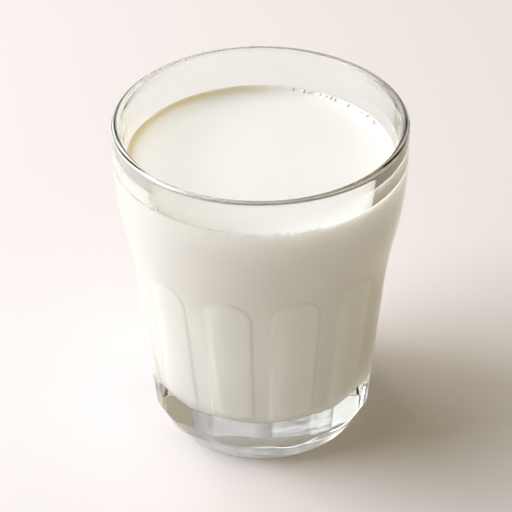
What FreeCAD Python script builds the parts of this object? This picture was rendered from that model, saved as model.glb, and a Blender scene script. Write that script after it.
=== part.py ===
import FreeCAD, Part
import collections
import math
import os
import Sketcher

# A pressed glass tumbler of milk, standing on a table. Millimetres, +Z up, with the origin at the
# centre of the foot's underside. Two separate pieces: the tumbler and the milk that fills it.
# The tumbler is a body of revolution with a thick base and flat flutes pressed into its side.

doc = FreeCAD.newDocument("GlassOfMilk")

# ---------------------------------------------------------------------------------------------
# Driving sizes, in millimetres and degrees
# ---------------------------------------------------------------------------------------------

DRIVING_SIZES = [
    ("glass_height", 100.0, "table to the top of the lip"),
    ("rim_diameter", 84.3, "across the outside of the rim"),
    ("lip_thickness", 2.3, "wall at the rim, rounded over its full thickness"),
    ("side_taper", 5.25, "lean of the straight lower side from upright"),
    ("shoulder_drop", 10.0, "rim down to where the upright band under it ends"),
    ("flare_drop", 42.0, "rim down to where the straight side begins to flare"),
    ("flare_radius", 60.0, "hollow curve between the straight side and the shoulder"),
    ("heel_height", 8.0, "table to the edge where the side turns in to the foot"),
    ("foot_inset", 3.9, "how far the bevel under the heel runs in"),
    ("foot_round", 0.8, "rounded edge of the face that the glass stands on"),
    ("bore_taper", 8.0, "lean of the bore's wall from upright"),
    ("floor_thickness", 12.9, "solid glass under the milk"),
    ("floor_round", 7.0, "rounded corner between the bore's wall and its floor"),
    ("flute_count", 11, "flat flutes round the side"),
    ("flute_depth", 0.75, "how far a flute's middle lies behind the round side"),
    ("scoop_drop", 45.5, "rim down to where a flute's floor begins to run out"),
    ("scoop_radius", 37.5, "curve by which a flute's floor runs out to its arched top"),
    ("milk_drop", 13.0, "rim down to the surface of the milk"),
]

sizes = doc.addObject("Spreadsheet::Sheet", "Sizes")
for row, (alias, value, meaning) in enumerate(DRIVING_SIZES, start=1):
    sizes.set(f"A{row}", meaning)
    sizes.set(f"B{row}", str(value))
    sizes.setAlias(f"B{row}", alias)
doc.recompute()


def size(alias):
    """One driving size as a plain number."""
    return float(sizes.get(alias))


def cell(alias):
    """The same size as an expression for setExpression."""
    return f"{sizes.Name}.{alias}"


# ---------------------------------------------------------------------------------------------
# Worked-out sizes: each is an expression for the constraints, beside its value for the start
# positions of the sketches
# ---------------------------------------------------------------------------------------------

HEIGHT = size("glass_height")
RIM_RADIUS = size("rim_diameter") / 2
LIP_RADIUS = size("lip_thickness") / 2
SIDE_LEAN = math.radians(size("side_taper"))
BORE_LEAN = math.radians(size("bore_taper"))
FLOOR_HEIGHT = size("floor_thickness")
MILK_HEIGHT = HEIGHT - size("milk_drop")

RIM_RADIUS_CELL = f"{cell('rim_diameter')} / 2"
LIP_RADIUS_CELL = f"{cell('lip_thickness')} / 2"
MILK_HEIGHT_CELL = f"({cell('glass_height')} - {cell('milk_drop')})"


def side_radius(height):
    """Radius of the straight side, which would run out at the rim's own radius."""
    return RIM_RADIUS - (HEIGHT - height) * math.tan(SIDE_LEAN)


def side_radius_cell(drop_cell):
    """The same at a drop below the rim, as an expression."""
    return f"{RIM_RADIUS_CELL} - ({drop_cell}) * tan({cell('side_taper')} * 1 deg)"


def bore_radius(height):
    """Radius of the bore's wall, a cone that touches the inside of the round lip."""
    lip_side = RIM_RADIUS - LIP_RADIUS - LIP_RADIUS / math.cos(BORE_LEAN)
    return lip_side - (HEIGHT - LIP_RADIUS - height) * math.tan(BORE_LEAN)


def bore_radius_cell(height_cell):
    """The same at a height above the table, as an expression."""
    lean = f"{cell('bore_taper')} * 1 deg"
    lip_side = f"{RIM_RADIUS_CELL} - {LIP_RADIUS_CELL} - {LIP_RADIUS_CELL} / cos({lean})"
    return f"{lip_side} - ({cell('glass_height')} - {LIP_RADIUS_CELL} - {height_cell}) * tan({lean})"


# ---------------------------------------------------------------------------------------------
# Sketch helpers
# ---------------------------------------------------------------------------------------------

START, END, CENTRE = 1, 2, 3
ORIGIN = (-1, 1)
UPRIGHT_AXIS = -2
SAME_POINT = 1e-6
Curve = collections.namedtuple("Curve", "index start end")


def point(radius, height):
    return FreeCAD.Vector(radius, height, 0)


def tangent_arc(start, heading, radius, turn):
    """Arc from a point along a heading: turn is its sweep, positive to the left, in radians."""
    side = 1 if turn > 0 else -1
    centre = start + point(-math.sin(heading), math.cos(heading)) * (radius * side)

    def on_arc(fraction):
        angle = heading + turn * fraction - side * math.pi / 2
        return centre + point(math.cos(angle), math.sin(angle)) * radius

    return Part.Arc(start, on_arc(0.5), on_arc(1.0))


def new_sketch(body, name):
    """A sketch on the body's own upright plane: its x is the radius and its y the height."""
    sketch = body.newObject("Sketcher::SketchObject", name)
    plane = next(item for item in body.Origin.OriginFeatures if item.Role == "XZ_Plane")
    sketch.AttachmentSupport = [(plane, "")]
    sketch.MapMode = "FlatFace"
    return sketch


def add_curve(sketch, shape):
    """Adds a line or arc. A sketch stores every arc anticlockwise, so its two ends may swap."""
    index = sketch.addGeometry(shape)
    swapped = sketch.getPoint(index, START).distanceToPoint(shape.StartPoint) > SAME_POINT
    return Curve(index, END if swapped else START, START if swapped else END)


def bind(sketch, constraint, name, expression):
    """Adds a dimension whose value follows the sheet."""
    index = sketch.addConstraint(constraint)
    sketch.renameConstraint(index, name)
    sketch.setExpression(f"Constraints.{name}", expression)


def place(sketch, curve, end, name, radius_cell, height_cell):
    """Fixes a point of a line or arc by its radius and its height, each only if it is given."""
    spot = sketch.getPoint(curve.index, end)
    if radius_cell:
        bind(sketch, Sketcher.Constraint("DistanceX", *ORIGIN, curve.index, end, spot.x),
             f"{name}_radius", radius_cell)
    if height_cell:
        bind(sketch, Sketcher.Constraint("DistanceY", *ORIGIN, curve.index, end, spot.y),
             f"{name}_height", height_cell)


def radius(sketch, curve, name, radius_cell):
    """Fixes an arc's radius."""
    start_value = sketch.Geometry[curve.index].Radius
    bind(sketch, Sketcher.Constraint("Radius", curve.index, start_value), name, radius_cell)


def lean(sketch, line, name, angle_cell):
    """Fixes a line's direction, measured from the sketch's x axis."""
    along = sketch.getPoint(line.index, END) - sketch.getPoint(line.index, START)
    bind(sketch, Sketcher.Constraint("Angle", line.index, math.atan2(along.y, along.x)),
         name, angle_cell)


def smooth(sketch, first, second):
    """Joins the end of one curve to the start of the next without a corner."""
    sketch.addConstraint(
        Sketcher.Constraint("Tangent", first.index, first.end, second.index, second.start))


def join(sketch, first, second):
    """Joins the end of one line to the start of the next at a corner."""
    sketch.addConstraint(
        Sketcher.Constraint("Coincident", first.index, first.end, second.index, second.start))


def revolve(body, sketch):
    """Turns the sketch once round the upright axis."""
    turned = body.newObject("PartDesign::Revolution", f"{body.Name}Turned")
    turned.Profile = sketch
    turned.ReferenceAxis = (sketch, ["V_Axis"])
    turned.Angle = 360
    return turned


# ---------------------------------------------------------------------------------------------
# Tumbler
# ---------------------------------------------------------------------------------------------


def shoulder_radius(flare_start):
    """Radius of the full curve that meets both the flare and the upright band without a corner."""
    flare = size("flare_radius")
    centre = flare_start + point(math.cos(SIDE_LEAN), -math.sin(SIDE_LEAN)) * flare
    across = centre.x - RIM_RADIUS
    down = centre.y - (HEIGHT - size("shoulder_drop"))
    return (across**2 + down**2 - flare**2) / (2 * (flare - across))


def draw_section(sketch):
    """Half of the section through glass wall and base, from the axis round to the axis again."""
    heel = point(side_radius(size("heel_height")), size("heel_height"))
    bevel = math.atan2(size("heel_height"), size("foot_inset"))
    foot_tangent = size("foot_round") * math.tan(bevel / 2)
    foot_edge = point(heel.x - size("foot_inset") - foot_tangent, 0)
    foot_corner = tangent_arc(foot_edge, 0, size("foot_round"), bevel)
    flare_start = point(side_radius(HEIGHT - size("flare_drop")), HEIGHT - size("flare_drop"))
    shoulder = shoulder_radius(flare_start)
    flare_centre = flare_start + point(math.cos(SIDE_LEAN), -math.sin(SIDE_LEAN)) * size("flare_radius")
    shoulder_end = point(RIM_RADIUS, HEIGHT - size("shoulder_drop"))
    flare_lean = math.atan2(shoulder_end.y - flare_centre.y, flare_centre.x - RIM_RADIUS + shoulder)
    upright = math.pi / 2
    flare_arc = tangent_arc(flare_start, upright - SIDE_LEAN, size("flare_radius"),
                            -(flare_lean - SIDE_LEAN))
    shoulder_arc = tangent_arc(flare_arc.EndPoint, upright - flare_lean, shoulder, flare_lean)
    lip_start = point(RIM_RADIUS, HEIGHT - LIP_RADIUS)
    lip_arc = tangent_arc(lip_start, upright, LIP_RADIUS, math.pi - BORE_LEAN)
    corner_height = FLOOR_HEIGHT + size("floor_round") * (1 - math.sin(BORE_LEAN))
    wall_foot = point(bore_radius(corner_height), corner_height)
    floor_arc = tangent_arc(wall_foot, -upright - BORE_LEAN, size("floor_round"),
                            -(upright - BORE_LEAN))
    floor_middle = point(0, FLOOR_HEIGHT)
    curves = [
        Part.LineSegment(point(0, 0), foot_edge),
        foot_corner,
        Part.LineSegment(foot_corner.EndPoint, heel),
        Part.LineSegment(heel, flare_start),
        flare_arc,
        shoulder_arc,
        Part.LineSegment(shoulder_end, lip_start),
        lip_arc,
        Part.LineSegment(lip_arc.EndPoint, wall_foot),
        floor_arc,
        Part.LineSegment(floor_arc.EndPoint, floor_middle),
        Part.LineSegment(floor_middle, point(0, 0)),
    ]
    return [add_curve(sketch, curve) for curve in curves]


def tumbler_body():
    body = doc.addObject("PartDesign::Body", "Tumbler")
    body.Label = "tumbler"
    section = new_sketch(body, "TumblerSection")
    (underside, foot_edge, bevel, side, flare, shoulder,
     band, lip, bore, corner, floor, axis) = draw_section(section)
    for first, second in ((underside, foot_edge), (foot_edge, bevel), (side, flare), (flare, shoulder),
                          (shoulder, band), (band, lip), (lip, bore), (bore, corner), (corner, floor)):
        smooth(section, first, second)
    for first, second in ((bevel, side), (floor, axis), (axis, underside)):
        join(section, first, second)
    section.addConstraint(Sketcher.Constraint("Coincident", *ORIGIN, underside.index, underside.start))
    section.addConstraint(Sketcher.Constraint("Horizontal", underside.index))
    section.addConstraint(Sketcher.Constraint("Vertical", band.index))
    section.addConstraint(Sketcher.Constraint("Horizontal", floor.index))
    section.addConstraint(Sketcher.Constraint("Vertical", axis.index))
    radius(section, foot_edge, "foot_edge", cell("foot_round"))
    radius(section, flare, "flare", cell("flare_radius"))
    radius(section, lip, "lip", LIP_RADIUS_CELL)
    radius(section, corner, "corner", cell("floor_round"))
    lean(section, bevel, "bevel", f"atan({cell('heel_height')} / {cell('foot_inset')})")
    lean(section, bore, "bore", f"-90 deg - {cell('bore_taper')} * 1 deg")
    place(section, side, side.start, "heel",
          side_radius_cell(f"{cell('glass_height')} - {cell('heel_height')}"), cell("heel_height"))
    place(section, side, side.end, "flare_start", side_radius_cell(cell("flare_drop")),
          f"{cell('glass_height')} - {cell('flare_drop')}")
    place(section, band, band.start, "band", RIM_RADIUS_CELL,
          f"{cell('glass_height')} - {cell('shoulder_drop')}")
    place(section, lip, CENTRE, "lip", None, f"{cell('glass_height')} - {LIP_RADIUS_CELL}")
    place(section, floor, floor.end, "floor", None, cell("floor_thickness"))
    revolve(body, section)
    doc.recompute()
    press_flutes(body)
    # A rib between two flutes faces the front, -Y.
    body.Placement.Rotation = FreeCAD.Rotation(FreeCAD.Vector(0, 0, 1), 1)
    body.setExpression("Placement.Rotation.Angle", f"-90 deg - 180 deg / {cell('flute_count')}")
    return body


def press_flutes(body):
    """Flat flutes: each floor runs parallel to the side, then curves out to an arched top."""
    turned = body.Tip
    scoop_start = point(side_radius(HEIGHT - size("scoop_drop")) - size("flute_depth"),
                        HEIGHT - size("scoop_drop"))
    below = -size("heel_height")
    outside = RIM_RADIUS + size("heel_height")
    floor_foot = point(scoop_start.x - (scoop_start.y - below) * math.tan(SIDE_LEAN), below)
    scoop = size("scoop_radius")
    scoop_centre = scoop_start + point(math.cos(SIDE_LEAN), -math.sin(SIDE_LEAN)) * scoop
    scoop_turn = math.acos((scoop_centre.x - outside) / scoop) - SIDE_LEAN
    scoop_arc = tangent_arc(scoop_start, math.pi / 2 - SIDE_LEAN, scoop, -scoop_turn)
    outside_foot = point(outside, below)
    sketch = new_sketch(body, "FluteSection")
    floor, run_out, back, base = (add_curve(sketch, curve) for curve in (
        Part.LineSegment(floor_foot, scoop_start),
        scoop_arc,
        Part.LineSegment(scoop_arc.EndPoint, outside_foot),
        Part.LineSegment(outside_foot, floor_foot),
    ))
    smooth(sketch, floor, run_out)
    for first, second in ((run_out, back), (back, base), (base, floor)):
        join(sketch, first, second)
    sketch.addConstraint(Sketcher.Constraint("Vertical", back.index))
    sketch.addConstraint(Sketcher.Constraint("Horizontal", base.index))
    lean(sketch, floor, "floor", f"90 deg - {cell('side_taper')} * 1 deg")
    radius(sketch, run_out, "scoop", cell("scoop_radius"))
    place(sketch, floor, floor.end, "scoop_start",
          f"{side_radius_cell(cell('scoop_drop'))} - {cell('flute_depth')}",
          f"{cell('glass_height')} - {cell('scoop_drop')}")
    place(sketch, base, base.start, "outside", f"{RIM_RADIUS_CELL} + {cell('heel_height')}",
          f"-{cell('heel_height')}")
    flute = body.newObject("PartDesign::Pocket", "Flute")
    flute.Profile = sketch
    flute.Type = "ThroughAll"
    flute.SideType = "Symmetric"
    doc.recompute()
    ring = body.newObject("PartDesign::PolarPattern", "FluteRing")
    ring.Originals = [flute]
    ring.Axis = (sketch, ["V_Axis"])
    ring.Angle = 360
    ring.setExpression("Occurrences", cell("flute_count"))
    body.Tip = ring
    doc.recompute()
    if not 0 < ring.Shape.Volume < flute.Shape.Volume < turned.Shape.Volume:
        raise RuntimeError("the flutes cut nothing")


# ---------------------------------------------------------------------------------------------
# Milk
# ---------------------------------------------------------------------------------------------


def milk_body():
    """The milk fills the bore from its floor to a level surface and shares the bore's sizes."""
    body = doc.addObject("PartDesign::Body", "Milk")
    body.Label = "milk"
    sketch = new_sketch(body, "MilkSection")
    corner_height = FLOOR_HEIGHT + size("floor_round") * (1 - math.sin(BORE_LEAN))
    wall_foot = point(bore_radius(corner_height), corner_height)
    surface_edge = point(bore_radius(MILK_HEIGHT), MILK_HEIGHT)
    corner_arc = tangent_arc(wall_foot, -math.pi / 2 - BORE_LEAN, size("floor_round"),
                             BORE_LEAN - math.pi / 2)
    surface_middle = point(0, MILK_HEIGHT)
    underside_middle = point(0, FLOOR_HEIGHT)
    surface, wall, corner, underside, axis = (add_curve(sketch, curve) for curve in (
        Part.LineSegment(surface_middle, surface_edge),
        Part.LineSegment(surface_edge, wall_foot),
        corner_arc,
        Part.LineSegment(corner_arc.EndPoint, underside_middle),
        Part.LineSegment(underside_middle, surface_middle),
    ))
    smooth(sketch, wall, corner)
    smooth(sketch, corner, underside)
    for first, second in ((surface, wall), (underside, axis), (axis, surface)):
        join(sketch, first, second)
    sketch.addConstraint(Sketcher.Constraint("Horizontal", surface.index))
    sketch.addConstraint(Sketcher.Constraint("Horizontal", underside.index))
    for end in (axis.start, axis.end):
        sketch.addConstraint(Sketcher.Constraint("PointOnObject", axis.index, end, UPRIGHT_AXIS))
    lean(sketch, wall, "wall", f"-90 deg - {cell('bore_taper')} * 1 deg")
    radius(sketch, corner, "corner", cell("floor_round"))
    place(sketch, surface, surface.end, "surface", bore_radius_cell(MILK_HEIGHT_CELL), MILK_HEIGHT_CELL)
    place(sketch, underside, underside.end, "floor", None, cell("floor_thickness"))
    revolve(body, sketch)
    return body


# ---------------------------------------------------------------------------------------------
# Build, check and write
# ---------------------------------------------------------------------------------------------

pieces = [tumbler_body(), milk_body()]
doc.recompute()

for item in doc.Objects:
    if {"Invalid", "Error"} & set(item.State):
        raise RuntimeError(f"{item.Label}: {item.State}")
for item in doc.Objects:
    if item.isDerivedFrom("Sketcher::SketchObject") and item.solve() != 0:
        raise RuntimeError(f"{item.Label}: the sketch is not solved")

os.makedirs("parts", exist_ok=True)
for piece in pieces:
    shape = piece.Shape
    if shape.isNull() or not shape.isValid() or len(shape.Solids) != 1:
        raise RuntimeError(f"{piece.Label}: bad shape")
    shape.exportStep(f"parts/{piece.Label}.step")
    box = shape.optimalBoundingBox()
    print(f"{piece.Label}: {shape.Volume / 1000:.2f} cm3, {box.XLength:.2f} x {box.YLength:.2f} x"
          f" {box.ZLength:.2f} mm, from {box.ZMin:.2f} to {box.ZMax:.2f} high")
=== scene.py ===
# %% [markdown]
# # A glass of milk
#
# The object is a pressed glass tumbler filled with milk. Its round wall bulges a little under the
# rim, eleven flat flutes are pressed into the lower side, and the base is a thick block of clear
# glass. This file builds every visible surface of it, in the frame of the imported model: metres,
# Z up, with the origin under the middle of the foot.

# %% Load the frame
import math

import bmesh
import bpy
from mathutils import Matrix, Vector


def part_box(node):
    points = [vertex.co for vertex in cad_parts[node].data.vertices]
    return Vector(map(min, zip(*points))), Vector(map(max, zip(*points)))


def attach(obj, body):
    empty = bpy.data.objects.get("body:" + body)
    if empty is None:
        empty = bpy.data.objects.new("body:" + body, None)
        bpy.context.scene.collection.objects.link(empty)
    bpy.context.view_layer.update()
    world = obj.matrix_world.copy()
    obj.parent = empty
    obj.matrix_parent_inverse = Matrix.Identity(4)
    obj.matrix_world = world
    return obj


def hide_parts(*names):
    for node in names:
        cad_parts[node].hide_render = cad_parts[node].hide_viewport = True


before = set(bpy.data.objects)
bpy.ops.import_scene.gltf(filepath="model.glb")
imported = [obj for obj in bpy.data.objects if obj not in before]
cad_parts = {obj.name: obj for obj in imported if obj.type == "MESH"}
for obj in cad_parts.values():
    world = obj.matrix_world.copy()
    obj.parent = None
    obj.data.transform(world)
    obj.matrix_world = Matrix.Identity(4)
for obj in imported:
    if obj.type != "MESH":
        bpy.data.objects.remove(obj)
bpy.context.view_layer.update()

GLASS_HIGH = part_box("tumbler")[1]
MILK_LOW, MILK_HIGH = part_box("milk")
print("tumbler", [round(v, 4) for v in GLASS_HIGH], "milk", [round(v, 4) for v in MILK_HIGH])

# %% [markdown]
# ## The sizes of the tumbler
#
# A pressed tumbler is a turned shape: one outline, swept round an axis. The outline could be traced
# as a curve by hand, but it is worth keeping as a few sizes that a glassmaker would recognise (a
# lip, a shoulder, a straight side, a heel, a bore), because every curve of the mesh is then worked
# out from them. The height, the floor and the milk line come from the frame, and the rest are the
# same sizes as the solid's.

# %% Sizes
MM = 0.001
HEIGHT = GLASS_HIGH.z
RIM_RADIUS = 42.15 * MM
LIP_RADIUS = 1.15 * MM
SIDE_LEAN = math.radians(5.25)
SHOULDER_HEIGHT = HEIGHT - 10.0 * MM
FLARE_HEIGHT = HEIGHT - 42.0 * MM
FLARE_RADIUS = 60.0 * MM
HEEL_HEIGHT = 8.0 * MM
HEEL_ROUND = 0.5 * MM
FOOT_INSET = 3.9 * MM
FOOT_ROUND = 0.8 * MM
BORE_LEAN = math.radians(8.0)
FLOOR_HEIGHT = MILK_LOW.z
FLOOR_ROUND = 7.0 * MM
FLUTES = 11
FLUTE_DEPTH = 0.75 * MM
FLUTE_CREASE = 0.15 * MM
SCOOP_HEIGHT = HEIGHT - 45.5 * MM
SCOOP_RADIUS = 37.5 * MM
MILK_HEIGHT = MILK_HIGH.z


def side_radius(height):
    """Radius of the straight side, which would run out at the rim's own radius."""
    return RIM_RADIUS - (HEIGHT - height) * math.tan(SIDE_LEAN)


def bore_radius(height):
    """Radius of the bore, a cone that touches the inside of the round lip."""
    lip_side = RIM_RADIUS - LIP_RADIUS - LIP_RADIUS / math.cos(BORE_LEAN)
    return lip_side - (HEIGHT - LIP_RADIUS - height) * math.tan(BORE_LEAN)


def bore_point(height, reach=0.0):
    """A point of the bore's wall, or one that reaches a little into the glass."""
    return (bore_radius(height) + reach / math.cos(BORE_LEAN), height)


print("wall at the milk line: %.1f mm" % ((side_radius(MILK_HEIGHT) - bore_radius(MILK_HEIGHT)) / MM))

# %% [markdown]
# ## Small helpers for node trees
#
# Both the finishes and the repeated shapes are node trees. A tree can be drawn by hand in an
# editor; built in a script it is mostly the same few lines again and again, so these helpers add
# one node with its inputs and do one sum, one blend or one ramp.

# %% Node helpers
def add_node(tree, kind, inputs=(), **settings):
    """Adds a node. Inputs are (name or number, value or output to link) pairs."""
    node = tree.nodes.new(kind)
    for name, value in settings.items():
        setattr(node, name, value)
    for key, value in inputs:
        socket = node.inputs[key]
        if isinstance(value, bpy.types.NodeSocket):
            tree.links.new(value, socket)
        else:
            socket.default_value = value
    return node


def calc(tree, operation, *values):
    """One Math node's output."""
    return add_node(tree, "ShaderNodeMath", list(enumerate(values)), operation=operation).outputs[0]


def blend(tree, share, first, second):
    """A number that goes from the first to the second as share goes from 0 to 1."""
    return add_node(tree, "ShaderNodeMix", [(0, share), (2, first), (3, second)]).outputs[0]


def tint(tree, share, first, second):
    """A colour that goes from the first to the second as share goes from 0 to 1."""
    return add_node(tree, "ShaderNodeMix", [(0, share), (6, first), (7, second)],
                    data_type="RGBA").outputs[2]


def ramp(tree, value, start, end, low=0.0, high=1.0, curve="LINEAR"):
    """A number that goes from low to high as value goes from start to end, and stays there."""
    return add_node(tree, "ShaderNodeMapRange", [
        (0, value), (1, start), (2, end), (3, low), (4, high)], interpolation_type=curve).outputs[0]


# %% [markdown]
# A Geometry Nodes tree is a recipe with named inputs. Here it is run once on an object, and what it
# makes becomes the object's own plain mesh, because nothing that is still being worked out can be
# handed over with the part.

# %% Geometry Nodes helpers
def new_geometry_tree(name, inputs):
    """An empty Geometry Nodes tree with named inputs, given as name: (socket type, default)."""
    tree = bpy.data.node_groups.new(name, "GeometryNodeTree")
    tree.interface.new_socket("Geometry", in_out="INPUT", socket_type="NodeSocketGeometry")
    for label, (kind, default) in inputs.items():
        tree.interface.new_socket(label, in_out="INPUT", socket_type=kind).default_value = default
    tree.interface.new_socket("Geometry", in_out="OUTPUT", socket_type="NodeSocketGeometry")
    return tree, tree.nodes.new("NodeGroupInput").outputs, tree.nodes.new("NodeGroupOutput")


def run_tree(target, tree, values):
    """Runs a tree on an object, turns the result into its plain mesh and drops the modifier."""
    modifier = target.modifiers.new(tree.name, "NODES")
    modifier.node_group = tree
    for socket in tree.interface.items_tree:
        if socket.in_out == "INPUT" and socket.name in values:
            modifier[socket.identifier] = values[socket.name]
    graph = bpy.context.evaluated_depsgraph_get()
    made = bpy.data.meshes.new_from_object(target.evaluated_get(graph))
    target.modifiers.remove(modifier)
    made.name = target.name
    target.data = made
    print(target.name, len(made.vertices), "points after", tree.name)


def new_object(name, mesh):
    """Puts a mesh in the scene, at the origin."""
    made = bpy.data.objects.new(name, mesh)
    bpy.context.scene.collection.objects.link(made)
    return made


# %% [markdown]
# ## Clear pressed glass
#
# Soda-lime glass is clear and smooth, and bends light with an index of about 1.5, so one Principled
# shader with full transmission is enough. Thick glass is faintly green. That could be a volume that
# absorbs light, but it would darken the milk inside too, so the hint of green is the colour of the
# surface. A pressed wall is also a little uneven, which a weak, wide bump gives: it keeps the glass
# from looking like a perfect lens.

# %% Glass material
GLASS_COLOUR = (0.965, 0.985, 0.975, 1.0)
WAVES_PER_METRE = 70.0
WAVE_HEIGHT = 0.12 * MM


def new_material(name):
    """An empty material: itself, its tree and its output node."""
    material = bpy.data.materials.new(name)
    material.use_nodes = True
    material.node_tree.nodes.clear()
    return material, material.node_tree, material.node_tree.nodes.new("ShaderNodeOutputMaterial")


def object_noise(tree, scale, detail=2.0):
    """Noise that sits on the object, in its own coordinates."""
    place = add_node(tree, "ShaderNodeTexCoord").outputs["Object"]
    return add_node(tree, "ShaderNodeTexNoise", [
        ("Vector", place), ("Scale", scale), ("Detail", detail)]).outputs[0]


def glass_material():
    material, tree, output = new_material("clear_pressed_glass")
    bump = add_node(tree, "ShaderNodeBump", [
        ("Strength", 0.8), ("Distance", WAVE_HEIGHT),
        ("Height", object_noise(tree, WAVES_PER_METRE))])
    shader = add_node(tree, "ShaderNodeBsdfPrincipled", [
        ("Base Color", GLASS_COLOUR),
        ("Roughness", 0.0),
        ("IOR", 1.5),
        ("Transmission Weight", 1.0),
        ("Normal", bump.outputs[0]),
    ])
    tree.links.new(shader.outputs[0], output.inputs["Surface"])
    return material


GLASS = glass_material()
print("finish", GLASS.name)

# %% [markdown]
# ## Milk
#
# Milk is water full of fat droplets. Light enters it, bounces about for a few millimetres and comes
# out a little warmer, which is what subsurface scattering does. The open surface scatters
# throughout and has a soft wet gloss. The side is seen through the glass that it wets, so it has no
# gloss of its own. It scatters only just under the milk line, where light that came in from above
# leaves through the side as a soft bright band: lower down it would only blur the flutes.
#
# Faint clouds of cream vary the tone. Values painted on the mesh later on tint the milk: warmer
# where the meniscus climbs and the milk is thin, with painted shade at the back left where it faces
# away from the window light; painted light behind the flutes; and a painted shade line along its
# lower edge.

# %% Milk materials
CREAM_TONES = (0.885, 0.855, 0.805, 1.0), (0.905, 0.878, 0.838, 1.0)
CREAM_CLOUDS_PER_METRE = 45.0
PAINTED_TONES = {
    # warm tint of thin milk on the meniscus, and painted shade where it faces away from the light
    "meniscus_tint_and_shade": (0.80, 0.71, 0.50, 1.0),
    # painted light: a lighter tone where the flutes' glass lets light onto the milk
    "painted_light_behind_flute": (0.975, 0.965, 0.92, 1.0),
    # painted shade: a dark line round the foot of the milk, where its corner turns under
    "painted_shade_lower_edge": (0.30, 0.30, 0.28, 1.0),
}
SCATTER_BY_CHANNEL = (1.0, 0.93, 0.84)
OPEN_SCATTER = 1.0 * MM
WALL_SCATTER = 4.5 * MM


def painted(tree, layer):
    """The value painted on the mesh under this name."""
    return add_node(tree, "ShaderNodeAttribute", attribute_name=layer).outputs["Fac"]


def milk_material(name, gloss, scatter_scale, scatter_layer=None):
    """Milk's finish. The layer, if named, says how much of the light scatters inside."""
    material, tree, output = new_material(name)
    tone = tint(tree, object_noise(tree, CREAM_CLOUDS_PER_METRE, 3.0), *CREAM_TONES)
    for layer, colour in PAINTED_TONES.items():
        tone = tint(tree, painted(tree, layer), tone, colour)
    shader = add_node(tree, "ShaderNodeBsdfPrincipled", [
        ("Base Color", tone),
        ("Roughness", 0.3),
        ("IOR", 1.35),
        ("Specular IOR Level", gloss),
        ("Subsurface Weight", 1.0),
        ("Subsurface Radius", SCATTER_BY_CHANNEL),
        ("Subsurface Scale", scatter_scale),
    ])
    if scatter_layer:
        tree.links.new(painted(tree, scatter_layer), shader.inputs["Subsurface Weight"])
    tree.links.new(shader.outputs[0], output.inputs["Surface"])
    return material


MILK_OPEN = milk_material("milk_open_surface", 0.5, OPEN_SCATTER)
MILK_WALL = milk_material("milk_against_glass", 0.0, WALL_SCATTER, "under_line")
print("finishes", MILK_OPEN.name, MILK_WALL.name)

# %% [markdown]
# ## The skin of a bubble
#
# A bubble is air in a thin skin of milk. It could be two surfaces with air between them, but at a
# fraction of a millimetre only its bright edge is seen, so one ball of half-clear, glossy white
# does.

# %% Bubble material
def bubble_material():
    material, tree, output = new_material("milk_bubble")
    shader = add_node(tree, "ShaderNodeBsdfPrincipled", [
        ("Base Color", (0.95, 0.95, 0.97, 1.0)),
        ("Roughness", 0.08),
        ("IOR", 1.33),
        ("Transmission Weight", 0.6),
    ])
    tree.links.new(shader.outputs[0], output.inputs["Surface"])
    return material


BUBBLE = bubble_material()
print("finish", BUBBLE.name)

# %% [markdown]
# ## Drawing the outline
#
# The outline is a row of (radius, height) points. Straight runs and arcs are drawn by small
# functions. One kind of run puts more points near its ends, so that the smooth shading of the arc
# beside it doesn't bleed over the flat.

# %% Outline helpers
def run(start, end, count):
    """Points along a straight run, closer together towards both ends; the start is left out."""
    points = []
    for step in range(1, count + 1):
        share = (1 - math.cos(math.pi * step / count)) / 2
        points.append(tuple(a + (b - a) * share for a, b in zip(start, end)))
    return points


def even_run(start, end, count):
    """Points along a straight run at equal steps; the start is left out."""
    return [tuple(a + (b - a) * step / count for a, b in zip(start, end))
            for step in range(1, count + 1)]


def arc(centre, radius, first, last, count):
    """Points along an arc between two angles, in radians; the start is left out."""
    angles = [first + (last - first) * step / count for step in range(1, count + 1)]
    return [(centre[0] + radius * math.cos(a), centre[1] + radius * math.sin(a)) for a in angles]


# %% [markdown]
# Blender's Screw modifier can sweep an outline. A few lines of mesh code do it too, and leave one
# shared point at each pole, closed all round, with every face pointing outwards.

# %% Sweep an outline
ON_THE_AXIS = 1e-9


def turned_mesh(name, outline, columns):
    """Sweeps an outline round the upright axis. It starts and ends on the axis, and its faces
    point outwards when it runs up the outside and back down the inside."""
    vertices, rings = [], []
    for radius, height in outline:
        first = len(vertices)
        if radius < ON_THE_AXIS:
            vertices.append((0.0, 0.0, height))
            rings.append([first] * columns)
            continue
        for column in range(columns):
            angle = 2 * math.pi * column / columns
            vertices.append((radius * math.cos(angle), radius * math.sin(angle), height))
        rings.append(list(range(first, first + columns)))
    faces = []
    for low, high in zip(rings, rings[1:]):
        for column in range(columns):
            after = (column + 1) % columns
            corners = (low[column], low[after], high[after], high[column])
            faces.append(tuple(dict.fromkeys(corners)))
    mesh = bpy.data.meshes.new(name)
    mesh.from_pydata(vertices, [], faces)
    mesh.shade_smooth()
    print(name, len(vertices), "points,", len(faces), "faces")
    return new_object(name, mesh)


# %% [markdown]
# ## The turned blank
#
# First comes the glass as it would be without its flutes. The straight side, the hollow flare, the
# full shoulder and the upright band meet without a corner, so the shoulder's radius isn't free: it
# is the one circle that touches both the flare and the band. The lip is a full round. Where the
# flutes end, the rows of points are close together, because their arched tops need them.

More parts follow.
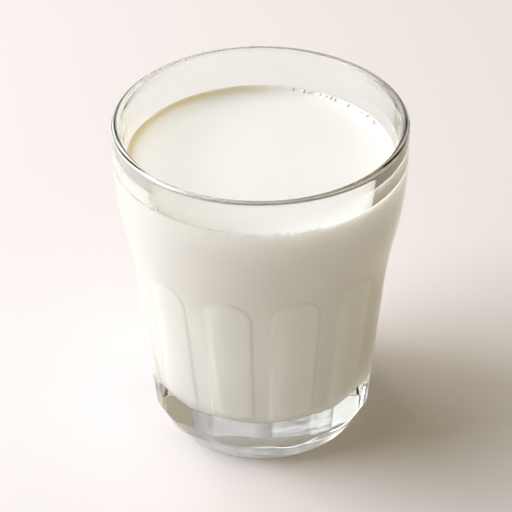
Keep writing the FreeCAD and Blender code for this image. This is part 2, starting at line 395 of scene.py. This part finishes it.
# %% Flare and shoulder
def flare_and_shoulder():
    """Centre of the flare, centre and radius of the shoulder, and the lean where they meet."""
    start = (side_radius(FLARE_HEIGHT), FLARE_HEIGHT)
    flare = (start[0] + FLARE_RADIUS * math.cos(SIDE_LEAN),
             start[1] - FLARE_RADIUS * math.sin(SIDE_LEAN))
    across = flare[0] - RIM_RADIUS
    down = flare[1] - SHOULDER_HEIGHT
    radius = (across**2 + down**2 - FLARE_RADIUS**2) / (2 * (FLARE_RADIUS - across))
    shoulder = (RIM_RADIUS - radius, SHOULDER_HEIGHT)
    lean = math.atan2(shoulder[1] - flare[1], flare[0] - shoulder[0])
    return flare, shoulder, radius, lean


print("shoulder radius: %.1f mm" % (flare_and_shoulder()[2] / MM))

# %% Outline of the tumbler
ROWS = {
    "under the foot": 5, "foot edge": 7, "lower bevel": 6, "upper bevel": 12, "heel": 5,
    "above the heel": 5, "side": 16, "under the flare": 14, "flare": 20, "shoulder": 20,
    "band": 6, "lip": 16, "bore": 12, "arches": 26, "lower bore": 14, "bore corner": 14,
    "bore floor": 4,
}
EASE = 2.0 * MM
ARCH_TOP = SCOOP_HEIGHT + 9.5 * MM
ARCH_FOOT = SCOOP_HEIGHT - EASE


def foot_and_heel():
    """The outline from the middle of the underside to where the side starts."""
    bevel_angle = math.atan2(HEEL_HEIGHT, FOOT_INSET)
    heel = (side_radius(HEEL_HEIGHT), HEEL_HEIGHT)
    foot_edge = heel[0] - FOOT_INSET - FOOT_ROUND * math.tan(bevel_angle / 2)
    outline = [(0.0, 0.0), (foot_edge * 0.5, 0.0)]
    outline += run(outline[-1], (foot_edge, 0.0), ROWS["under the foot"])
    outline += arc((foot_edge, FOOT_ROUND), FOOT_ROUND, -math.pi / 2, bevel_angle - math.pi / 2,
                   ROWS["foot edge"])
    heel_turn = math.pi / 2 - SIDE_LEAN - bevel_angle
    heel_reach = HEEL_ROUND * math.tan(heel_turn / 2)
    heel_low = (heel[0] - heel_reach * math.cos(bevel_angle),
                heel[1] - heel_reach * math.sin(bevel_angle))
    heel_centre = (heel_low[0] - HEEL_ROUND * math.sin(bevel_angle),
                   heel_low[1] + HEEL_ROUND * math.cos(bevel_angle))
    half_way = tuple(a + (b - a) * 0.5 for a, b in zip(outline[-1], heel_low))
    outline += run(outline[-1], half_way, ROWS["lower bevel"])
    outline += even_run(half_way, heel_low, ROWS["upper bevel"])
    return outline + arc(heel_centre, HEEL_ROUND, bevel_angle - math.pi / 2, -SIDE_LEAN,
                         ROWS["heel"])


def side_and_lip(heel_top):
    """The outline from the heel up the outside and over the lip."""
    side_low = (side_radius(HEEL_HEIGHT + EASE), HEEL_HEIGHT + EASE)
    side_high = (side_radius(ARCH_FOOT), ARCH_FOOT)
    flare, shoulder, shoulder_radius, lean = flare_and_shoulder()
    outline = even_run(heel_top, side_low, ROWS["above the heel"])
    outline += run(side_low, side_high, ROWS["side"])
    outline += even_run(side_high, (side_radius(FLARE_HEIGHT), FLARE_HEIGHT),
                        ROWS["under the flare"])
    outline += arc(flare, FLARE_RADIUS, math.pi - SIDE_LEAN, math.pi - lean, ROWS["flare"])
    outline += arc(shoulder, shoulder_radius, -lean, 0.0, ROWS["shoulder"])
    outline += run(outline[-1], (RIM_RADIUS, HEIGHT - LIP_RADIUS), ROWS["band"])
    lip_centre = (RIM_RADIUS - LIP_RADIUS, HEIGHT - LIP_RADIUS)
    return outline + arc(lip_centre, LIP_RADIUS, 0.0, math.pi - BORE_LEAN, ROWS["lip"])


CORNER_HEIGHT = FLOOR_HEIGHT + FLOOR_ROUND * (1 - math.sin(BORE_LEAN))
CORNER_CENTRE = (bore_radius(CORNER_HEIGHT) - FLOOR_ROUND * math.cos(BORE_LEAN),
                 FLOOR_HEIGHT + FLOOR_ROUND)


def bore_outline(lip_end):
    """The outline from the lip down the bore to the middle of its floor."""
    outline = run(lip_end, bore_point(ARCH_TOP), ROWS["bore"])
    outline += even_run(bore_point(ARCH_TOP), bore_point(ARCH_FOOT), ROWS["arches"])
    outline += run(bore_point(ARCH_FOOT), bore_point(CORNER_HEIGHT), ROWS["lower bore"])
    outline += arc(CORNER_CENTRE, FLOOR_ROUND, -BORE_LEAN, -math.pi / 2, ROWS["bore corner"])
    outline += run(outline[-1], (CORNER_CENTRE[0] * 0.5, FLOOR_HEIGHT), ROWS["bore floor"])
    return outline + [(0.0, FLOOR_HEIGHT)]


# %% [markdown]
# The number of columns is a multiple of the number of flutes, so that every flute gets the same
# faces. A value of 1 is stored at each point of the outer side, up to the lip: the flute press
# reads it to know what it may press.

# %% Turn the blank
GLASS_COLUMNS = 44 * FLUTES
outline = foot_and_heel()
outline += side_and_lip(outline[-1])
outer_rows = len(outline) - ROWS["lip"]
outline += bore_outline(outline[-1])
tumbler = turned_mesh("glass_tumbler", outline, GLASS_COLUMNS)
outer_points = 1 + (outer_rows - 1) * GLASS_COLUMNS
tumbler.data.attributes.new("outer_side", "FLOAT", "POINT").data.foreach_set(
    "value", [float(point < outer_points) for point in range(len(tumbler.data.vertices))])
print(outer_points, "points on the outer side")

# %% [markdown]
# ## Pressing the flutes with Geometry Nodes
#
# On the real glass a mould presses the flutes. They could be cut with a Boolean, which leaves sharp
# and uneven faces. But they follow one rule, so a node tree can press them: each flute is a flat
# floor that leans with the side, and curves outwards at its top. Seen from above, a flat floor at
# distance f from the axis lies at radius f / cos(angle from its middle). Wherever that is less than
# the round side's radius, the glass is pressed in to it. The smooth minimum of the two leaves the
# soft crease of fire-polished glass, and the arched top of a flute comes by itself, where its floor
# runs out through the round side.

# %% Where the floor of a flute lies
def flute_floor_radius(tree, sizes, place):
    """Radius of the nearest flute's floor, at a point's angle and height."""
    half = calc(tree, "DIVIDE", calc(tree, "DIVIDE", 2 * math.pi, sizes["Flutes"]), 2.0)
    turned = calc(tree, "SUBTRACT", calc(tree, "ARCTAN2", place[1], place[0]),
                  calc(tree, "ADD", sizes["Front rib"], half))
    angle = calc(tree, "WRAP", turned, half, calc(tree, "MULTIPLY", half, -1.0))
    rise = calc(tree, "SUBTRACT", place[2], sizes["Scoop height"])
    lean, scoop, distance = sizes["Side lean"], sizes["Scoop radius"], sizes["Floor distance"]
    straight = calc(tree, "MULTIPLY_ADD", rise, calc(tree, "TANGENT", lean), distance)
    centre_out = calc(tree, "MULTIPLY_ADD", scoop, calc(tree, "COSINE", lean), distance)
    over_centre = calc(tree, "MULTIPLY_ADD", scoop, calc(tree, "SINE", lean), rise)
    squared = calc(tree, "SUBTRACT", calc(tree, "MULTIPLY", scoop, scoop),
                   calc(tree, "MULTIPLY", over_centre, over_centre))
    curved = calc(tree, "SUBTRACT", centre_out,
                  calc(tree, "SQRT", calc(tree, "MAXIMUM", squared, 0.0)))
    floor = blend(tree, calc(tree, "GREATER_THAN", rise, 0.0), straight, curved)
    return calc(tree, "DIVIDE", floor, calc(tree, "COSINE", angle))


# %% [markdown]
# The same tree serves the milk, which has no outer side. There it pushes points outwards, into the
# wall, by a share of the depth that the flute over them has (the bulge), and by a small step where
# the flute begins, so that its edge shows. Near the floor of the bore the push dies away.

# %% The flute press
PUSH_STARTS_OVER = 4.0 * MM
LEAST_RADIUS = 0.1 * MM


def milk_push(tree, sizes, place, depth, inside_flute):
    """How far the milk's side moves out, behind a flute."""
    above_floor = ramp(tree, place[2], FLOOR_HEIGHT, FLOOR_HEIGHT + PUSH_STARTS_OVER)
    step = ramp(tree, inside_flute, sizes["Step from"], sizes["Step to"], 0.0, sizes["Step"],
                "SMOOTHSTEP")
    return calc(tree, "MULTIPLY", above_floor,
                calc(tree, "MULTIPLY_ADD", depth, sizes["Bulge"], step))


def flute_tree(material):
    number = "NodeSocketFloat"
    tree, sizes, result = new_geometry_tree("press flutes", {
        "Flutes": ("NodeSocketInt", FLUTES),
        "Front rib": (number, -math.pi / 2),
        "Side lean": (number, SIDE_LEAN),
        "Scoop height": (number, SCOOP_HEIGHT),
        "Floor distance": (number, side_radius(SCOOP_HEIGHT) - FLUTE_DEPTH),
        "Scoop radius": (number, SCOOP_RADIUS),
        "Crease": (number, FLUTE_CREASE),
        "Bulge": (number, 0.0),
        "Step": (number, 0.0),
        "Step from": (number, 0.0),
        "Step to": (number, 0.2 * MM),
    })
    place = add_node(tree, "ShaderNodeSeparateXYZ",
                     [(0, add_node(tree, "GeometryNodeInputPosition").outputs[0])]).outputs
    radius = calc(tree, "SQRT", calc(tree, "ADD", calc(tree, "MULTIPLY", place[0], place[0]),
                                     calc(tree, "MULTIPLY", place[1], place[1])))
    outside = add_node(tree, "GeometryNodeInputNamedAttribute", [("Name", "outer_side")],
                       data_type="FLOAT").outputs["Attribute"]
    round_side = calc(tree, "MULTIPLY_ADD", calc(tree, "SUBTRACT", place[2], HEIGHT),
                      calc(tree, "TANGENT", sizes["Side lean"]), RIM_RADIUS)
    solid = blend(tree, outside, round_side, radius)
    floor_radius = flute_floor_radius(tree, sizes, place)
    depth = calc(tree, "SUBTRACT", solid,
                 calc(tree, "SMOOTH_MIN", solid, floor_radius, sizes["Crease"]))
    push = milk_push(tree, sizes, place, depth, calc(tree, "SUBTRACT", solid, floor_radius))
    change = blend(tree, outside, push, calc(tree, "MULTIPLY", depth, -1.0))
    stretch = calc(tree, "DIVIDE", calc(tree, "ADD", radius, change),
                   calc(tree, "MAXIMUM", radius, LEAST_RADIUS))
    moved = add_node(tree, "ShaderNodeCombineXYZ", [
        (0, calc(tree, "MULTIPLY", place[0], stretch)),
        (1, calc(tree, "MULTIPLY", place[1], stretch)),
        (2, place[2]),
    ]).outputs[0]
    pressed = add_node(tree, "GeometryNodeSetPosition", [
        ("Geometry", sizes["Geometry"]), ("Position", moved)])
    plain = add_node(tree, "GeometryNodeRealizeInstances", [(0, pressed.outputs[0])])
    finished = add_node(tree, "GeometryNodeSetMaterial", [
        ("Geometry", plain.outputs[0]), ("Material", material)])
    tree.links.new(finished.outputs[0], result.inputs[0])
    return tree


# %% Press the flutes
FLUTE_SIZES = {
    "Flutes": FLUTES,
    "Floor distance": side_radius(SCOOP_HEIGHT) - FLUTE_DEPTH,
    "Crease": FLUTE_CREASE,
}
run_tree(tumbler, flute_tree(GLASS), FLUTE_SIZES)

# %% [markdown]
# ## The milk
#
# The milk fills the bore, so it is turned from the same sizes. Two things make it read as a liquid
# in a glass. Its side reaches a hair into the wall, so no thin film of air is left between them to
# mirror the light. And its surface isn't flat at the wall: it climbs the glass in a small curve,
# the meniscus, which dies away over a few millimetres.
#
# In a real glass the flutes are seen by what their clear glass does to the light on the milk. A
# renderer finds such light only slowly, so behind each flute the milk's side also swells into the
# wall, in the flute's own shape, and its shading shows the flute at once.

# %% Milk body
WETTING = 0.06 * MM
MENISCUS_RISE = 1.4 * MM
MENISCUS_REACH = 1.3 * MM
MENISCUS_STEPS = (0.05, 0.12, 0.22, 0.36, 0.54, 0.78, 1.1, 1.5, 2.0, 2.7, 3.6, 5.0, 7.0)
MILK_ROWS = {"floor": 6, "corner": 14, "lower side": 14, "upper side": 10, "surface": 8}
MILK_COLUMNS = 66 * FLUTES


def milk_outline():
    """From the middle of the milk's underside, up its side, down the meniscus and back in."""
    outline = [(0.0, FLOOR_HEIGHT - WETTING)]
    outline += run(outline[0], (CORNER_CENTRE[0], FLOOR_HEIGHT - WETTING), MILK_ROWS["floor"])
    outline += arc(CORNER_CENTRE, FLOOR_ROUND + WETTING, -math.pi / 2, -BORE_LEAN,
                   MILK_ROWS["corner"])
    arch_foot, arch_top = bore_point(ARCH_FOOT, WETTING), bore_point(ARCH_TOP, WETTING)
    contact = bore_point(MILK_HEIGHT + MENISCUS_RISE, WETTING)
    outline += run(outline[-1], arch_foot, MILK_ROWS["lower side"])
    outline += even_run(arch_foot, arch_top, ROWS["arches"])
    outline += run(arch_top, contact, MILK_ROWS["upper side"])
    for reach in MENISCUS_STEPS:
        outline.append((contact[0] - WETTING - reach * MENISCUS_REACH,
                        MILK_HEIGHT + MENISCUS_RISE * math.exp(-reach)))
    outline += run(outline[-1], (outline[-1][0] * 0.3, MILK_HEIGHT), MILK_ROWS["surface"])
    return outline + [(0.0, MILK_HEIGHT)]


milk = turned_mesh("milk_filling", milk_outline(), MILK_COLUMNS)
run_tree(milk, flute_tree(MILK_WALL), {
    **FLUTE_SIZES, "Bulge": 0.8, "Step": 0.34 * MM, "Step from": -0.15 * MM, "Step to": 0.07 * MM})

# %% [markdown]
# ## Giving the milk its finishes
#
# The glass is one material throughout, and its tree has set it. The milk has two: the side, which
# touches the glass, and the open surface with its meniscus, which faces up.

# %% Assign the finishes
FACES_UP = 0.05
milk.data.materials.append(MILK_OPEN)
for face in milk.data.polygons:
    face.material_index = 1 if face.normal.z > FACES_UP else 0
print(sum(face.material_index for face in milk.data.polygons), "faces of open milk")

# %% [markdown]
# Some looks of the milk belong to a place on it: a warm tint where the meniscus climbs and the milk
# is thin, made much darker at the back left as painted shade, where it faces away from the window
# light; a painted shade line along the lower edge; a lighter tone behind the flutes, painted light
# for what their glass lets onto the milk; and the band under the milk line where light scatters
# through. They could be painted by hand. Here each is a rule that gives a point a value from 0 to
# 1 by where it is, and the materials read that value.

# %% Paint the milk
# The painted shade on the meniscus is strongest round the back left, away from the window light.
MENISCUS_SHADE_MIDDLE = math.radians(150)
MENISCUS_SHADE_WIDTH = math.radians(58)
MENISCUS_SHADE_ENDS_SHARP = 4
MENISCUS_TINT_LEAST = 0.08
MENISCUS_TINT_CLIMB, MENISCUS_TINT_FADE = 2.2, 0.8
GLOW_DEPTH = 9.0 * MM
GLOW_STRENGTH = 1.25
SWELL_STARTS, SWELL_FULL = 0.22 * MM, 0.55 * MM
EDGE_MIDDLE, EDGE_HALF = 0.9 * MM, 0.7 * MM


def meniscus_tint_and_shade_worth(place):
    """Where the meniscus climbs: a faint tint all round, and painted shade at the back left."""
    turn = math.remainder(math.atan2(place.y, place.x) - MENISCUS_SHADE_MIDDLE, 2 * math.pi)
    away_from_light = math.exp(-((turn / MENISCUS_SHADE_WIDTH) ** MENISCUS_SHADE_ENDS_SHARP))
    climb = max(0.0, (place.z - MILK_HEIGHT) / MENISCUS_RISE)
    climb_share = min(1.0, MENISCUS_TINT_CLIMB * climb) ** MENISCUS_TINT_FADE
    return (MENISCUS_TINT_LEAST + (1.0 - MENISCUS_TINT_LEAST) * away_from_light) * climb_share


def under_line_worth(place):
    """Full at the milk line, none some millimetres under it."""
    return GLOW_STRENGTH * (1.0 - (MILK_HEIGHT + MENISCUS_RISE - place.z) / GLOW_DEPTH)


def flute_light_worth(place):
    """Painted light, by how far the milk's side reaches into the wall, which it does behind the
    flutes only.
    """
    swell = math.hypot(place.x, place.y) - bore_point(place.z, WETTING)[0]
    return (swell - SWELL_STARTS) / (SWELL_FULL - SWELL_STARTS)


def lower_edge_shade_worth(place):
    """Painted shade: a narrow dark band round the foot of the milk."""
    return 1.0 - abs(place.z - FLOOR_HEIGHT - EDGE_MIDDLE) / EDGE_HALF


def paint(layer, worth):
    """Stores one value at each point of the milk, worked out from where the point is."""
    values = [min(1.0, max(0.0, worth(point.co))) for point in milk.data.vertices]
    milk.data.attributes.new(layer, "FLOAT", "POINT").data.foreach_set("value", values)
    print(layer, "covers", sum(value > 0 for value in values), "points")


# painted shade on the meniscus, faint all round and strong at the back left
paint("meniscus_tint_and_shade", meniscus_tint_and_shade_worth)
paint("under_line", under_line_worth)
# painted light behind the flutes
paint("painted_light_behind_flute", flute_light_worth)
# painted shade along the foot of the milk
paint("painted_shade_lower_edge", lower_edge_shade_worth)

# %% [markdown]
# ## Bubbles along the milk line
#
# Poured milk leaves tiny bubbles where its surface meets the glass. They are hundreds of times
# smaller than the glass, and all alike, so a node tree scatters points along an arc of the milk
# line, floats a small round bubble on the meniscus at each and gives it a chance size. The seed is
# fixed, so the bubbles are the same every time.

# %% Bubble tree
def bubble_tree(material):
    number = "NodeSocketFloat"
    tree, sizes, result = new_geometry_tree("bubbles on a milk line", {
        "Count": ("NodeSocketInt", 20),
        "From": (number, 0.0),
        "To": (number, 1.0),
        "Radius": (number, bore_radius(MILK_HEIGHT)),
        "Milk height": (number, MILK_HEIGHT),
        "Climb": (number, MENISCUS_RISE),
        "Climb reach": (number, MENISCUS_REACH),
        "Smallest": (number, 0.1 * MM),
        "Largest": (number, 0.3 * MM),
        "Spread": (number, 1.0 * MM),
        "Seed": ("NodeSocketInt", 1),
    })

    def chance(low, high, draw):
        """A random number between two others. Each draw has a number of its own."""
        return add_node(tree, "FunctionNodeRandomValue", [
            (2, low), (3, high), ("Seed", calc(tree, "ADD", sizes["Seed"], float(draw)))],
            data_type="FLOAT").outputs[1]

    angle = chance(sizes["From"], sizes["To"], 0)
    size = chance(sizes["Smallest"], sizes["Largest"], 10)
    inward = calc(tree, "MULTIPLY", chance(0.0, 1.0, 20), chance(0.0, 1.0, 30))
    from_wall = calc(tree, "MULTIPLY_ADD", inward, sizes["Spread"], size)
    radius = calc(tree, "SUBTRACT", sizes["Radius"], from_wall)
    reach = calc(tree, "DIVIDE", from_wall, sizes["Climb reach"])
    left = calc(tree, "EXPONENT", calc(tree, "MULTIPLY", reach, -1.0))
    spot = add_node(tree, "ShaderNodeCombineXYZ", [
        (0, calc(tree, "MULTIPLY", radius, calc(tree, "COSINE", angle))),
        (1, calc(tree, "MULTIPLY", radius, calc(tree, "SINE", angle))),
        (2, calc(tree, "MULTIPLY_ADD", left, sizes["Climb"], sizes["Milk height"])),
    ]).outputs[0]
    points = add_node(tree, "GeometryNodePoints", [("Count", sizes["Count"]), ("Position", spot)])
    ball = add_node(tree, "GeometryNodeMeshIcoSphere", [("Radius", 1.0), ("Subdivisions", 2)])
    placed = add_node(tree, "GeometryNodeInstanceOnPoints", [
        ("Points", points.outputs[0]), ("Instance", ball.outputs["Mesh"]), ("Scale", size)])
    plain = add_node(tree, "GeometryNodeRealizeInstances", [(0, placed.outputs[0])])
    smooth = add_node(tree, "GeometryNodeSetShadeSmooth", [(0, plain.outputs[0])])
    finished = add_node(tree, "GeometryNodeSetMaterial", [
        ("Geometry", smooth.outputs[0]), ("Material", material)])
    tree.links.new(finished.outputs[0], result.inputs[0])
    return tree


# %% [markdown]
# The bubbles aren't spread evenly. Most sit at the front, and behind on the right, so the tree is
# run once for each of four arcs, and the four results are joined into one piece.

# %% Place the bubbles
BUBBLE_ARCS = [
    # count, from and to in degrees from +X, smallest and largest in millimetres, spread, seed
    (34, 25, 75, 0.16, 0.42, 1.0, 3),
    (64, -114, -66, 0.12, 0.30, 0.7, 8),
    (16, 200, 238, 0.12, 0.30, 0.7, 12),
    (10, 90, 160, 0.1, 0.22, 0.8, 21),
]
CLEAR_OF_WALL = 0.1 * MM
UP_THE_MENISCUS = 0.55
bubble_line = bore_radius(MILK_HEIGHT + MENISCUS_RISE * UP_THE_MENISCUS) - CLEAR_OF_WALL
tree = bubble_tree(BUBBLE)
bubble_arcs = []
for number, (count, first, last, small, large, spread, seed) in enumerate(BUBBLE_ARCS):
    seat = new_object(f"bubble_arc_{number}", bpy.data.meshes.new("seat"))
    run_tree(seat, tree, {
        "Count": count, "From": math.radians(first), "To": math.radians(last),
        "Radius": bubble_line, "Milk height": MILK_HEIGHT,
        "Smallest": small * MM, "Largest": large * MM, "Spread": spread * MM, "Seed": seed,
    })
    bubble_arcs.append(seat)


def join_pieces(name, parts):
    """Joins plain mesh objects into one, which keeps the first one's material."""
    joined = bmesh.new()
    for part in parts:
        joined.from_mesh(part.data)
    mesh = bpy.data.meshes.new(name)
    joined.to_mesh(mesh)
    joined.free()
    mesh.materials.append(parts[0].data.materials[0])
    mesh.shade_smooth()
    for part in parts:
        bpy.data.objects.remove(part)
    print(name, len(mesh.polygons), "faces")
    return new_object(name, mesh)


bubbles = join_pieces("milk_bubbles", bubble_arcs)

# %% [markdown]
# ## Joining the frame
#
# The two turned pieces stand for the two solids, which go on working unseen wherever the part has
# to be solid. Nothing moves on a glass of milk, so every piece rides on its one body.

# %% Ride on the frame
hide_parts("tumbler")
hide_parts("milk")
for piece, finish in ((tumbler, "tumbler_glass"), (milk, "milk"), (bubbles, "milk")):
    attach(piece, "root")
print("three pieces ride on the body root")

# %% [markdown]
# ## The table
#
# The glass stands on a plain pale table, a little pink and not glossy. Clear glass is only as good
# as what it shows, so the table is large enough to be all that is seen behind the base. It lies a
# hair under the foot, because two faces in one plane would flicker.

# %% Table
TABLE_SIZE = 6.0
TABLE_DROP = 0.02 * MM
TABLE_TONES = (0.832, 0.782, 0.758, 1.0), (0.862, 0.812, 0.788, 1.0)


def table_material():
    material, tree, output = new_material("pale_table")
    shader = add_node(tree, "ShaderNodeBsdfPrincipled", [
        ("Base Color", tint(tree, object_noise(tree, 3.0), *TABLE_TONES)),
        ("Roughness", 0.6),
        ("Specular IOR Level", 0.2),
    ])
    tree.links.new(shader.outputs[0], output.inputs["Surface"])
    return material


table_mesh = bpy.data.meshes.new("table_top")
table_mesh.from_pydata([(x * TABLE_SIZE / 2, y * TABLE_SIZE / 2, -TABLE_DROP)
                        for x, y in ((-1, -1), (1, -1), (1, 1), (-1, 1))], [], [(0, 1, 2, 3)])
table_mesh.materials.append(table_material())
table_top = new_object("table_top", table_mesh)
print("table", TABLE_SIZE, "m wide")

# %% [markdown]
# ## Two soft lamps
#
# The light is that of a broad window straight to the left, about 40 degrees up, and of a weaker and
# steeper one between the left and the back. Both are large for their distance, so the shadow on the
# right has a soft edge. A single small lamp would be simpler, and would give a hard shadow and a
# burnt spot on the glass.

# %% Lamps
LAMPS = [
    # name, degrees behind the left side, height in degrees, distance, width, height, watts, colour
    ("window_light", 2, 42, 1.3, 0.90, 0.80, 14.6, (0.85, 0.88, 1.0)),
    ("back_window_light", 45, 56, 1.2, 0.70, 0.40, 3.2, (1.0, 0.99, 0.99)),
]
LAMP_AIM = Vector((0.0, 0.0, 0.04))


def soft_lamp(name, place, width, height, watts, colour):
    """A broad rectangular lamp that faces the glass."""
    data = bpy.data.lights.new(name, "AREA")
    data.shape = "RECTANGLE"
    data.size = width
    data.size_y = height
    data.energy = watts
    data.color = colour
    lamp = bpy.data.objects.new(name, data)
    lamp.location = place
    lamp.rotation_euler = (LAMP_AIM - place).to_track_quat("-Z", "Y").to_euler()
    bpy.context.scene.collection.objects.link(lamp)


for name, behind, rise, distance, width, height, watts, colour in LAMPS:
    around, rise = math.radians(180 - behind), math.radians(rise)
    away = Vector((math.cos(rise) * math.cos(around), math.cos(rise) * math.sin(around),
                   math.sin(rise)))
    soft_lamp(name, LAMP_AIM + distance * away, width, height, watts, colour)
    print(name, watts, "watts")

# %% [markdown]
# ## A dim room for the glass to show
#
# The thick base mirrors the room round it, from its underside, and the lip and shoulder bend it.
# With nothing there, clear glass looks black. Real walls built round the scene would do. Here the
# world itself is the room: a dim ceiling, and patches of wall that fade into it, each with a place,
# a height and a tone. A stretched noise makes them uneven, as walls with doors and curtains are.

# %% Room
ROOM_WALLS = [
    # name, way it lies, starts and is full at this much of that way, lowest and highest, colour
    ("window_wall", (-1.0, 0.1, 0.0), 0.45, 0.75, -0.1, 0.75, (1.85, 1.87, 1.8)),
    ("window_corner", (-0.70, 0.714, 0.0), 0.60, 0.78, 0.33, 0.80, (0.72, 0.74, 0.72)),
    ("far_wall", (0.0, 1.0, 0.0), 0.45, 0.80, 0.05, 0.80, (0.42, 0.41, 0.42)),
    ("near_wall", (0.0, -1.0, 0.0), 0.45, 0.80, -0.1, 0.75, (0.07, 0.06, 0.03)),
    ("right_wall", (1.0, 0.0, 0.0), 0.45, 0.75, -0.1, 0.45, (0.36, 0.32, 0.22)),
    ("right_wall_top", (1.0, 0.0, 0.0), 0.45, 0.75, 0.25, 0.80, (0.62, 0.50, 0.14)),
]
ROOM_CEILING = (0.08, 0.072, 0.05)
FADE_BELOW, FADE_ABOVE = 0.1, 0.2


def wall_share(tree, way, height, lies, start, full, low, high):
    """How much of a wall is seen in a direction: all of it in its middle, none beyond its edges."""
    toward = add_node(tree, "ShaderNodeVectorMath", [(0, way), (1, lies)], operation="DOT_PRODUCT")
    across = ramp(tree, toward.outputs["Value"], start, full, curve="SMOOTHSTEP")
    above = ramp(tree, height, low, low + FADE_BELOW, curve="SMOOTHSTEP")
    below = ramp(tree, height, high, high - FADE_ABOVE, curve="SMOOTHSTEP")
    return calc(tree, "MULTIPLY", across, calc(tree, "MULTIPLY", above, below))


def room_light():
    """A ceiling of one tone, and walls which fade into it and into each other."""
    world = bpy.data.worlds.new("dim_room")
    world.use_nodes = True
    tree = world.node_tree
    tree.nodes.clear()
    way = add_node(tree, "ShaderNodeTexCoord").outputs["Generated"]
    height = add_node(tree, "ShaderNodeSeparateXYZ", [(0, way)]).outputs[2]
    drawn = add_node(tree, "ShaderNodeVectorMath", [(0, way), (1, (1.0, 1.0, 4.0))],
                     operation="MULTIPLY")
    cloud = add_node(tree, "ShaderNodeTexNoise", [
        ("Vector", drawn.outputs[0]), ("Scale", 3.5), ("Detail", 4.0)]).outputs[0]
    uneven = ramp(tree, cloud, 0.35, 0.65, 0.5, 1.5)
    total = add_node(tree, "ShaderNodeBackground", [("Color", (*ROOM_CEILING, 1.0))],
                     name="ceiling").outputs[0]
    for name, *place, colour in ROOM_WALLS:
        share = calc(tree, "MULTIPLY", uneven, wall_share(tree, way, height, *place))
        wall = add_node(tree, "ShaderNodeBackground", [
            ("Color", (*colour, 1.0)), ("Strength", share)], name=name)
        total = add_node(tree, "ShaderNodeAddShader", [(0, total), (1, wall.outputs[0])]).outputs[0]
    output = tree.nodes.new("ShaderNodeOutputWorld")
    tree.links.new(total, output.inputs[0])
    print("room of", len(ROOM_WALLS), "patches of wall")
    return world


# %% [markdown]
# Two settings of the scene belong to the light. The plain view transform keeps white milk white.
# And Cycles blurs light that has passed through glass on its way to a dull surface, unless it is
# told not to: with the blur off, the milk gets the light that its glass lets through.

# %% Light the scene
bpy.context.scene.world = room_light()
bpy.context.scene.view_settings.view_transform = "Standard"
bpy.context.scene.cycles.blur_glossy = 0.0

# %% [markdown]
# ## The camera
#
# The camera looks down at the glass from the front, from about two thirds of a metre, with a long
# lens, as one would for food: the open milk and the flutes both show, and the sides lean only a
# little towards each other. Its three directions are worked out from its tilt and a slight roll.

# %% Camera
CAMERA_PLACE = Vector((-0.00152, -0.5138, 0.42096))
CAMERA_TILT = math.radians(35.62)
CAMERA_ROLL = math.radians(-0.39)
SENSOR_WIDTH = 36.0
FOCAL_LENGTH = 150.9
level = Vector((1.0, 0.0, 0.0))
forward = Vector((0.0, math.cos(CAMERA_TILT), -math.sin(CAMERA_TILT)))
upward = level.cross(forward)
rightward = math.cos(CAMERA_ROLL) * level + math.sin(CAMERA_ROLL) * upward
upright = math.cos(CAMERA_ROLL) * upward - math.sin(CAMERA_ROLL) * level
lens = bpy.data.cameras.new("camera")
lens.sensor_width = SENSOR_WIDTH
lens.lens = FOCAL_LENGTH
camera = bpy.data.objects.new("camera", lens)
directions = Matrix((rightward, upright, -forward)).transposed().to_4x4()
camera.matrix_world = Matrix.Translation(CAMERA_PLACE) @ directions
bpy.context.scene.collection.objects.link(camera)
bpy.context.scene.camera = camera
print("camera %.3f m away" % CAMERA_PLACE.length)
